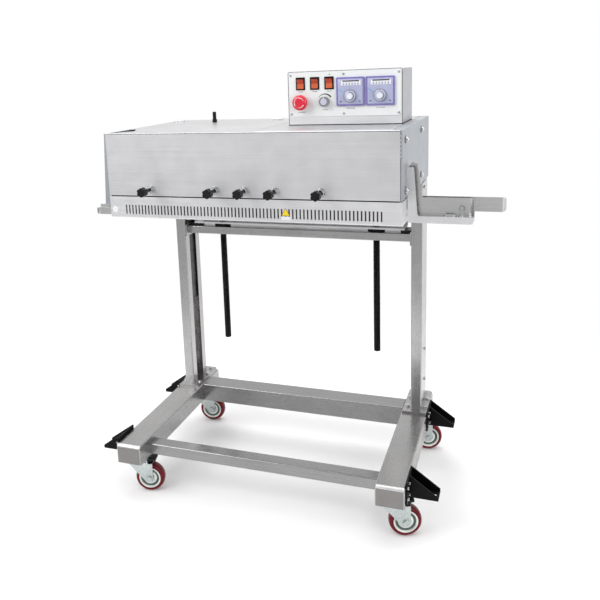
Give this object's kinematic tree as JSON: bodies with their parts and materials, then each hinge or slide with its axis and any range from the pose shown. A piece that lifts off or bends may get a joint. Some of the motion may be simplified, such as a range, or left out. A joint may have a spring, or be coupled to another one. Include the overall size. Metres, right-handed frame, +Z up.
{
  "type": "hanging band sealer on a wheeled stand",
  "caption": "Brushed stainless continuous band sealer head with control box, hung on a height-adjustable stand with swivel casters and side stabilisers.",
  "frame": {"origin": "on the floor, under the middle of the whole object's box", "axes": "+Z up, +X towards the infeed end on the operator's right, -Y towards the operator and the control panel"},
  "size_m": [1.099, 0.577, 1.1666],
  "materials": {
    "stainless": "brushed stainless sheet and tube",
    "polished_steel": "polished stainless fasteners",
    "black_coat": "black powder coat",
    "zinc": "bright zinc plate",
    "hub_plastic": "grey moulded rim",
    "tyre_red": "dark red polyurethane",
    "black_plastic": "black moulded plastic",
    "black_steel": "black oxide steel",
    "motor_paint": "grey-green motor enamel",
    "seal_block": "machined blocks",
    "seal_band": "coated glass-cloth band",
    "pulley_rubber": "rubber-faced drum",
    "panel_paint": "pale satin plate",
    "controller_plastic": "lilac framed controller",
    "dial_plastic": "clear-edged grey dial",
    "rocker_orange": "translucent orange key",
    "estop_red": "red mushroom head",
    "knob_grey": "grey fluted knob"
  },
  "bodies": {
    "stand": {"side_beams": "stainless", "rear_beam": "stainless", "front_beam": "stainless", "uprights": "stainless", "foot_plates": "stainless", "frame_bolts": "polished_steel", "crossbar": "stainless", "rest_pads": "black_plastic", "stabiliser_brackets": "black_coat", "caster_plates": "zinc"},
    "head": {"slide_rails": "black_steel", "jack_rods": "black_steel", "head_chassis": "stainless", "belt_guard": "stainless", "front_cover": "stainless", "side_covers": "stainless", "top_panel": "stainless", "cover_bolts": "polished_steel", "bag_guides": "stainless", "gearmotor": "motor_paint", "seal_blocks": "seal_block", "seal_bands": "seal_band", "cable_gland": "black_plastic", "knob_bosses": "polished_steel", "control_box": "stainless", "control_panel": "panel_paint", "temperature_controllers": "controller_plastic"},
    "hand_nut_left": {"hand_nut_left": "black_steel"},
    "hand_nut_right": {"hand_nut_right": "black_steel"},
    "caster_fl": {"caster_fork_fl": "zinc"},
    "wheel_fl": {"caster_hub_fl": "hub_plastic", "caster_tyre_fl": "tyre_red"},
    "brake_fl": {"brake_pedal_fl": "black_plastic"},
    "caster_fr": {"caster_fork_fr": "zinc"},
    "wheel_fr": {"caster_hub_fr": "hub_plastic", "caster_tyre_fr": "tyre_red"},
    "brake_fr": {"brake_pedal_fr": "black_plastic"},
    "caster_rl": {"caster_fork_rl": "zinc"},
    "wheel_rl": {"caster_hub_rl": "hub_plastic", "caster_tyre_rl": "tyre_red"},
    "caster_rr": {"caster_fork_rr": "zinc"},
    "wheel_rr": {"caster_hub_rr": "hub_plastic", "caster_tyre_rr": "tyre_red"},
    "lid": {"lid": "stainless", "lid_knob": "black_plastic"},
    "pressure_knob_1": {"pressure_knob_1": "black_plastic"},
    "pressure_knob_2": {"pressure_knob_2": "black_plastic"},
    "pressure_knob_3": {"pressure_knob_3": "black_plastic"},
    "pressure_knob_4": {"pressure_knob_4": "black_plastic"},
    "pressure_knob_5": {"pressure_knob_5": "black_plastic"},
    "band_pulley_rear_left": {"band_pulley_rear_left": "pulley_rubber"},
    "band_pulley_front_left": {"band_pulley_front_left": "pulley_rubber"},
    "band_pulley_rear_right": {"band_pulley_rear_right": "pulley_rubber"},
    "band_pulley_front_right": {"band_pulley_front_right": "pulley_rubber"},
    "rocker_1": {"rocker_1": "rocker_orange"},
    "rocker_2": {"rocker_2": "rocker_orange"},
    "rocker_3": {"rocker_3": "rocker_orange"},
    "estop": {"estop_button": "estop_red"},
    "speed_knob": {"speed_knob": "knob_grey"},
    "dial_1": {"dial_1": "dial_plastic"},
    "dial_2": {"dial_2": "dial_plastic"}
  },
  "joints": [
    {"name": "head_height", "type": "slide", "parent": "stand", "child": "head", "axis": [0, 0, 1], "range_m": [0, 0.3]},
    {"name": "hand_nut_left_turn", "type": "hinge", "parent": "stand", "child": "hand_nut_left", "pos_m": [-0.3035, 0.1945, 0.704], "axis": [0, 0, 1], "continuous": true},
    {"name": "hand_nut_right_turn", "type": "hinge", "parent": "stand", "child": "hand_nut_right", "pos_m": [0.1845, 0.1945, 0.704], "axis": [0, 0, 1], "continuous": true},
    {"name": "caster_fl_swivel", "type": "hinge", "parent": "stand", "child": "caster_fl", "pos_m": [-0.4227, -0.2175, 0.098], "axis": [0, 0, 1], "continuous": true},
    {"name": "wheel_fl_roll", "type": "hinge", "parent": "caster_fl", "child": "wheel_fl", "pos_m": [-0.39553, -0.21073, 0.042], "axis": [-0.2419, 0.9703, 0], "continuous": true},
    {"name": "brake_fl_press", "type": "hinge", "parent": "caster_fl", "child": "brake_fl", "pos_m": [-0.40426, -0.2129, 0.0945], "axis": [-0.2419, 0.9703, 0], "range_deg": [0, 12]},
    {"name": "caster_fr_swivel", "type": "hinge", "parent": "stand", "child": "caster_fr", "pos_m": [0.3037, -0.2175, 0.098], "axis": [0, 0, 1], "continuous": true},
    {"name": "wheel_fr_roll", "type": "hinge", "parent": "caster_fr", "child": "wheel_fr", "pos_m": [0.33001, -0.20792, 0.042], "axis": [-0.342, 0.9397, 0], "continuous": true},
    {"name": "brake_fr_press", "type": "hinge", "parent": "caster_fr", "child": "brake_fr", "pos_m": [0.32155, -0.211, 0.0945], "axis": [-0.342, 0.9397, 0], "range_deg": [0, 12]},
    {"name": "caster_rl_swivel", "type": "hinge", "parent": "stand", "child": "caster_rl", "pos_m": [-0.4227, 0.2405, 0.098], "axis": [0, 0, 1], "continuous": true},
    {"name": "wheel_rl_roll", "type": "hinge", "parent": "caster_rl", "child": "wheel_rl", "pos_m": [-0.39497, 0.2444, 0.042], "axis": [-0.1392, 0.9903, 0], "continuous": true},
    {"name": "caster_rr_swivel", "type": "hinge", "parent": "stand", "child": "caster_rr", "pos_m": [0.3037, 0.2405, 0.098], "axis": [0, 0, 1], "continuous": true},
    {"name": "wheel_rr_roll", "type": "hinge", "parent": "caster_rr", "child": "wheel_rr", "pos_m": [0.33061, 0.24822, 0.042], "axis": [-0.2756, 0.9613, 0], "continuous": true},
    {"name": "lid_hinge", "type": "hinge", "parent": "head", "child": "lid", "pos_m": [-0.2395, 0.174, 1.0314], "axis": [-1, 0, 0], "range_deg": [0, 100]},
    {"name": "pressure_knob_1_turn", "type": "hinge", "parent": "head", "child": "pressure_knob_1", "pos_m": [-0.3195, -0.2305, 0.8835], "axis": [0, 1, 0], "range_deg": [-720, 720]},
    {"name": "pressure_knob_2_turn", "type": "hinge", "parent": "head", "child": "pressure_knob_2", "pos_m": [-0.1385, -0.2305, 0.8835], "axis": [0, 1, 0], "range_deg": [-720, 720]},
    {"name": "pressure_knob_3_turn", "type": "hinge", "parent": "head", "child": "pressure_knob_3", "pos_m": [-0.0595, -0.2305, 0.8835], "axis": [0, 1, 0], "range_deg": [-720, 720]},
    {"name": "pressure_knob_4_turn", "type": "hinge", "parent": "head", "child": "pressure_knob_4", "pos_m": [0.0185, -0.2305, 0.8835], "axis": [0, 1, 0], "range_deg": [-720, 720]},
    {"name": "pressure_knob_5_turn", "type": "hinge", "parent": "head", "child": "pressure_knob_5", "pos_m": [0.1355, -0.2305, 0.8835], "axis": [0, 1, 0], "range_deg": [-720, 720]},
    {"name": "band_pulley_rear_left_spin", "type": "hinge", "parent": "head", "child": "band_pulley_rear_left", "pos_m": [-0.3845, -0.0932, 0.825], "axis": [0, 0, 1], "continuous": true},
    {"name": "band_pulley_front_left_spin", "type": "hinge", "parent": "head", "child": "band_pulley_front_left", "pos_m": [-0.3845, -0.1778, 0.825], "axis": [0, 0, 1], "continuous": true},
    {"name": "band_pulley_rear_right_spin", "type": "hinge", "parent": "head", "child": "band_pulley_rear_right", "pos_m": [0.2655, -0.0932, 0.825], "axis": [0, 0, 1], "continuous": true},
    {"name": "band_pulley_front_right_spin", "type": "hinge", "parent": "head", "child": "band_pulley_front_right", "pos_m": [0.2655, -0.1778, 0.825], "axis": [0, 0, 1], "continuous": true},
    {"name": "rocker_1_tilt", "type": "hinge", "parent": "head", "child": "rocker_1", "pos_m": [0.0355, -0.0445, 1.1355], "axis": [-1, 0, 0], "range_deg": [0, 16]},
    {"name": "rocker_2_tilt", "type": "hinge", "parent": "head", "child": "rocker_2", "pos_m": [0.0735, -0.0445, 1.1355], "axis": [-1, 0, 0], "range_deg": [0, 16]},
    {"name": "rocker_3_tilt", "type": "hinge", "parent": "head", "child": "rocker_3", "pos_m": [0.1115, -0.0445, 1.1355], "axis": [-1, 0, 0], "range_deg": [0, 16]},
    {"name": "estop_press", "type": "slide", "parent": "head", "child": "estop", "axis": [0, 1, 0], "range_m": [0, 0.006]},
    {"name": "speed_knob_turn", "type": "hinge", "parent": "head", "child": "speed_knob", "pos_m": [0.0995, -0.0445, 1.0885], "axis": [0, 1, 0], "range_deg": [0, 270]},
    {"name": "dial_1_turn", "type": "hinge", "parent": "head", "child": "dial_1", "pos_m": [0.167, -0.0445, 1.1015], "axis": [0, 1, 0], "range_deg": [0, 270]},
    {"name": "dial_2_turn", "type": "hinge", "parent": "head", "child": "dial_2", "pos_m": [0.243, -0.0445, 1.1015], "axis": [0, 1, 0], "range_deg": [0, 270]}
  ],
  "couplings": [
    {"joint": "band_pulley_front_left_spin", "follows": "band_pulley_rear_left_spin", "ratio": -1},
    {"joint": "band_pulley_rear_right_spin", "follows": "band_pulley_rear_left_spin", "ratio": 1},
    {"joint": "band_pulley_front_right_spin", "follows": "band_pulley_rear_left_spin", "ratio": -1}
  ]
}
